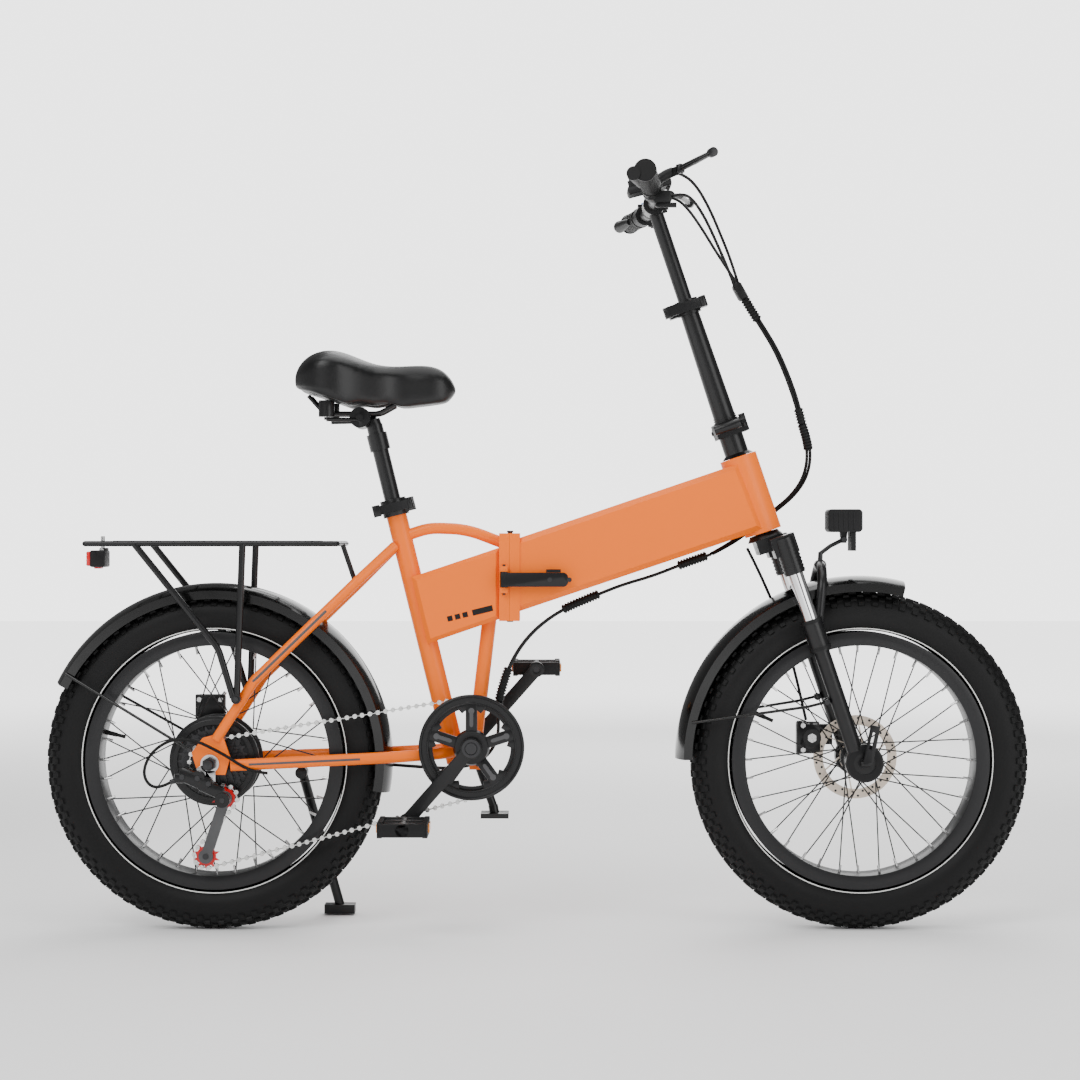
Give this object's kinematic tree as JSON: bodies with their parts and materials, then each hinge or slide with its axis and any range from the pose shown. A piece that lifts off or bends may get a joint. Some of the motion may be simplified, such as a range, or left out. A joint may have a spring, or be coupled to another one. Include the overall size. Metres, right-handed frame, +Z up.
{
  "type": "folding bicycle",
  "caption": "Folding electric bicycle with fat tyres, suspension fork, hinged beam frame, folding handlepost, rack, fenders, lights and disc brakes",
  "frame": {"origin": "on the floor below the middle of the overall box, half way between the wheel axles", "axes": "+X forward along the bicycle, +Y to the rider's left, +Z up"},
  "size_m": [1.626, 0.592, 1.2544],
  "materials": {
    "orange_paint": "satin metallic",
    "black_paint": "satin",
    "black_plastic": "matte",
    "gloss_black": "gloss",
    "tyre_rubber": "matte",
    "black_rubber": "matte",
    "grey_metal": "satin",
    "silver": "satin",
    "steel": "brushed",
    "saddle_cover": "soft matte",
    "red_plastic": "gloss",
    "blue_plastic": "gloss",
    "lamp_plastic": "gloss"
  },
  "bodies": {
    "rear_frame": {"rear_frame": "orange_paint", "frame_hinge_pin": "steel", "bottom_bracket": "steel", "seat_collar": "black_paint", "rear_axle": "steel", "derailleur_body": "silver", "rear_rack": "black_paint", "rear_fender": "gloss_black", "tail_light": "red_plastic", "rear_brake_caliper": "grey_metal", "stay_cables": "black_rubber", "chain": "silver"},
    "crank": {"crankset": "black_paint", "chainring": "black_paint"},
    "right_pedal": {"right_pedal": "black_plastic"},
    "left_pedal": {"left_pedal": "black_plastic"},
    "rear_wheel": {"rear_hub_motor": "black_paint", "rear_rim": "black_paint", "rear_tyre": "tyre_rubber", "rear_spokes": "black_paint", "rear_brake_disc": "steel"},
    "freewheel": {"rear_freewheel": "steel"},
    "derailleur_cage": {"derailleur_cage": "grey_metal"},
    "guide_pulley": {"guide_pulley": "red_plastic"},
    "tension_pulley": {"tension_pulley": "red_plastic"},
    "seat": {"seatpost": "black_paint", "saddle": "saddle_cover", "saddle_rails": "steel"},
    "seat_lever": {"seat_lever": "black_paint"},
    "kickstand": {"kickstand": "black_paint"},
    "support_stand": {"support_stand": "black_paint"},
    "front_frame": {"front_frame": "orange_paint", "battery_and_controller": "black_plastic", "beam_cables": "black_rubber"},
    "frame_latch": {"frame_latch": "black_paint"},
    "latch_catch": {"latch_catch": "black_plastic"},
    "fork_steerer": {"fork_crown": "black_paint", "head_cables": "black_rubber"},
    "fork_lowers": {"fork_lowers": "black_paint", "front_brake_caliper": "grey_metal", "front_fender": "gloss_black"},
    "front_wheel": {"front_hub": "black_paint", "front_rim": "black_paint", "front_tyre": "tyre_rubber", "front_spokes": "black_paint", "front_brake_disc": "steel"},
    "front_lever": {"front_lever": "grey_metal"},
    "headlight": {"headlight": "lamp_plastic"},
    "handlepost": {"handlepost": "black_paint", "post_cables": "black_rubber"},
    "post_latch": {"post_latch": "black_paint"},
    "post_lever": {"post_lever": "black_paint"},
    "handlebar": {"handlebar": "black_paint", "grips": "black_rubber", "bar_controls": "black_plastic", "bar_cables": "black_rubber"},
    "right_brake_lever": {"right_brake_lever": "black_paint"},
    "left_brake_lever": {"left_brake_lever": "black_paint"},
    "shift_lever": {"shift_lever": "black_plastic"},
    "horn_button": {"horn_button": "blue_plastic"}
  },
  "joints": [
    {"name": "main_fold", "type": "hinge", "parent": "rear_frame", "child": "front_frame", "pos_m": [-0.0463, 0.046, 0.583], "axis": [0, 0, 1], "range_deg": [0, 155], "deforming": ["beam_cables"]},
    {"name": "latch_swing", "type": "hinge", "parent": "rear_frame", "child": "frame_latch", "pos_m": [-0.055, -0.047, 0.579], "axis": [0, 0, -1], "range_deg": [0, 95]},
    {"name": "catch_slide", "type": "slide", "parent": "frame_latch", "child": "latch_catch", "axis": [-1, 0, 0], "range_m": [0, 0.006], "stiffness_N_per_m": 400},
    {"name": "steering", "type": "hinge", "parent": "front_frame", "child": "fork_steerer", "pos_m": [0.3327, 0, 0.7819], "axis": [-0.319, 0, 0.9478], "range_deg": [-60, 60], "deforming": ["head_cables"]},
    {"name": "suspension", "type": "slide", "parent": "fork_steerer", "child": "fork_lowers", "axis": [-0.319, 0, 0.9478], "range_m": [0, 0.05], "stiffness_N_per_m": 8000, "springref_m": -0.03},
    {"name": "front_wheel_spin", "type": "hinge", "parent": "fork_lowers", "child": "front_wheel", "pos_m": [0.533, 0, 0.28], "axis": [0, 1, 0], "continuous": true},
    {"name": "front_lever_turn", "type": "hinge", "parent": "fork_lowers", "child": "front_lever", "pos_m": [0.533, -0.084, 0.28], "axis": [0, 1, 0], "range_deg": [0, 170]},
    {"name": "headlight_tilt", "type": "hinge", "parent": "fork_lowers", "child": "headlight", "pos_m": [0.508, 0, 0.645], "axis": [0, 1, 0], "range_deg": [-20, 20]},
    {"name": "post_fold", "type": "hinge", "parent": "fork_steerer", "child": "handlepost", "pos_m": [0.31675, 0.038, 0.82929], "axis": [0.9478, 0, 0.319], "range_deg": [-135, 0], "deforming": ["post_cables"]},
    {"name": "post_latch_swing", "type": "hinge", "parent": "handlepost", "child": "post_latch", "pos_m": [0.3395, -0.036, 0.83694], "axis": [-0.319, 0, 0.9478], "range_deg": [0, 110]},
    {"name": "post_lever_swing", "type": "hinge", "parent": "handlepost", "child": "post_lever", "pos_m": [0.27283, -0.026, 1.03819], "axis": [-0.319, 0, 0.9478], "range_deg": [0, 120]},
    {"name": "bar_height", "type": "slide", "parent": "handlepost", "child": "handlebar", "axis": [0.319, 0, -0.9478], "range_m": [0, 0.12], "deforming": ["bar_cables"]},
    {"name": "right_brake_squeeze", "type": "hinge", "parent": "handlebar", "child": "right_brake_lever", "pos_m": [0.22801, -0.1417, 1.23732], "axis": [0, 0, -1], "range_deg": [0, 18], "stiffness_Nm_per_rad": 1.5},
    {"name": "left_brake_squeeze", "type": "hinge", "parent": "handlebar", "child": "left_brake_lever", "pos_m": [0.22801, 0.1417, 1.23732], "axis": [0, 0, 1], "range_deg": [0, 18], "stiffness_Nm_per_rad": 1.5},
    {"name": "shift_push", "type": "hinge", "parent": "handlebar", "child": "shift_lever", "pos_m": [0.1908, -0.16, 1.17622], "axis": [0, 1, 0], "range_deg": [0, 20], "stiffness_Nm_per_rad": 0.4},
    {"name": "horn_press", "type": "slide", "parent": "handlebar", "child": "horn_button", "axis": [0, 0, -1], "range_m": [0, 0.001], "stiffness_N_per_m": 400},
    {"name": "seat_height", "type": "slide", "parent": "rear_frame", "child": "seat", "axis": [-0.2382, 0, 0.9712], "range_m": [-0.08, 0.05]},
    {"name": "seat_lever_swing", "type": "hinge", "parent": "rear_frame", "child": "seat_lever", "pos_m": [-0.2103, -0.029, 0.7046], "axis": [-0.2382, 0, 0.9712], "range_deg": [0, 120]},
    {"name": "crank_spin", "type": "hinge", "parent": "rear_frame", "child": "crank", "pos_m": [-0.108, 0, 0.305], "axis": [0, 1, 0], "continuous": true},
    {"name": "right_pedal_spin", "type": "hinge", "parent": "crank", "child": "right_pedal", "pos_m": [-0.21402, -0.1, 0.18517], "axis": [0, 1, 0], "continuous": true},
    {"name": "left_pedal_spin", "type": "hinge", "parent": "crank", "child": "left_pedal", "pos_m": [-0.00198, 0.1, 0.42483], "axis": [0, 1, 0], "continuous": true},
    {"name": "freewheel_spin", "type": "hinge", "parent": "rear_frame", "child": "freewheel", "pos_m": [-0.533, 0, 0.28], "axis": [0, 1, 0], "continuous": true},
    {"name": "rear_wheel_spin", "type": "hinge", "parent": "rear_frame", "child": "rear_wheel", "pos_m": [-0.533, 0, 0.28], "axis": [0, 1, 0], "continuous": true},
    {"name": "cage_swing", "type": "hinge", "parent": "rear_frame", "child": "derailleur_cage", "pos_m": [-0.511, -0.054, 0.222], "axis": [0, 1, 0], "range_deg": [-15, 25], "stiffness_Nm_per_rad": 2, "deforming": ["chain"]},
    {"name": "guide_pulley_spin", "type": "hinge", "parent": "derailleur_cage", "child": "guide_pulley", "pos_m": [-0.511, -0.054, 0.222], "axis": [0, 1, 0], "continuous": true},
    {"name": "tension_pulley_spin", "type": "hinge", "parent": "derailleur_cage", "child": "tension_pulley", "pos_m": [-0.542, -0.054, 0.127], "axis": [0, 1, 0], "continuous": true},
    {"name": "kickstand_fold", "type": "hinge", "parent": "rear_frame", "child": "kickstand", "pos_m": [-0.4, 0.08, 0.25], "axis": [0, 1, 0], "range_deg": [0, 100]},
    {"name": "stand_fold", "type": "hinge", "parent": "rear_frame", "child": "support_stand", "pos_m": [-0.099, 0, 0.273], "axis": [0, 1, 0], "range_deg": [0, 70]}
  ],
  "couplings": [
    {"joint": "freewheel_spin", "follows": "crank_spin", "ratio": 2.2222},
    {"joint": "guide_pulley_spin", "follows": "crank_spin", "ratio": -4},
    {"joint": "tension_pulley_spin", "follows": "crank_spin", "ratio": 4}
  ]
}
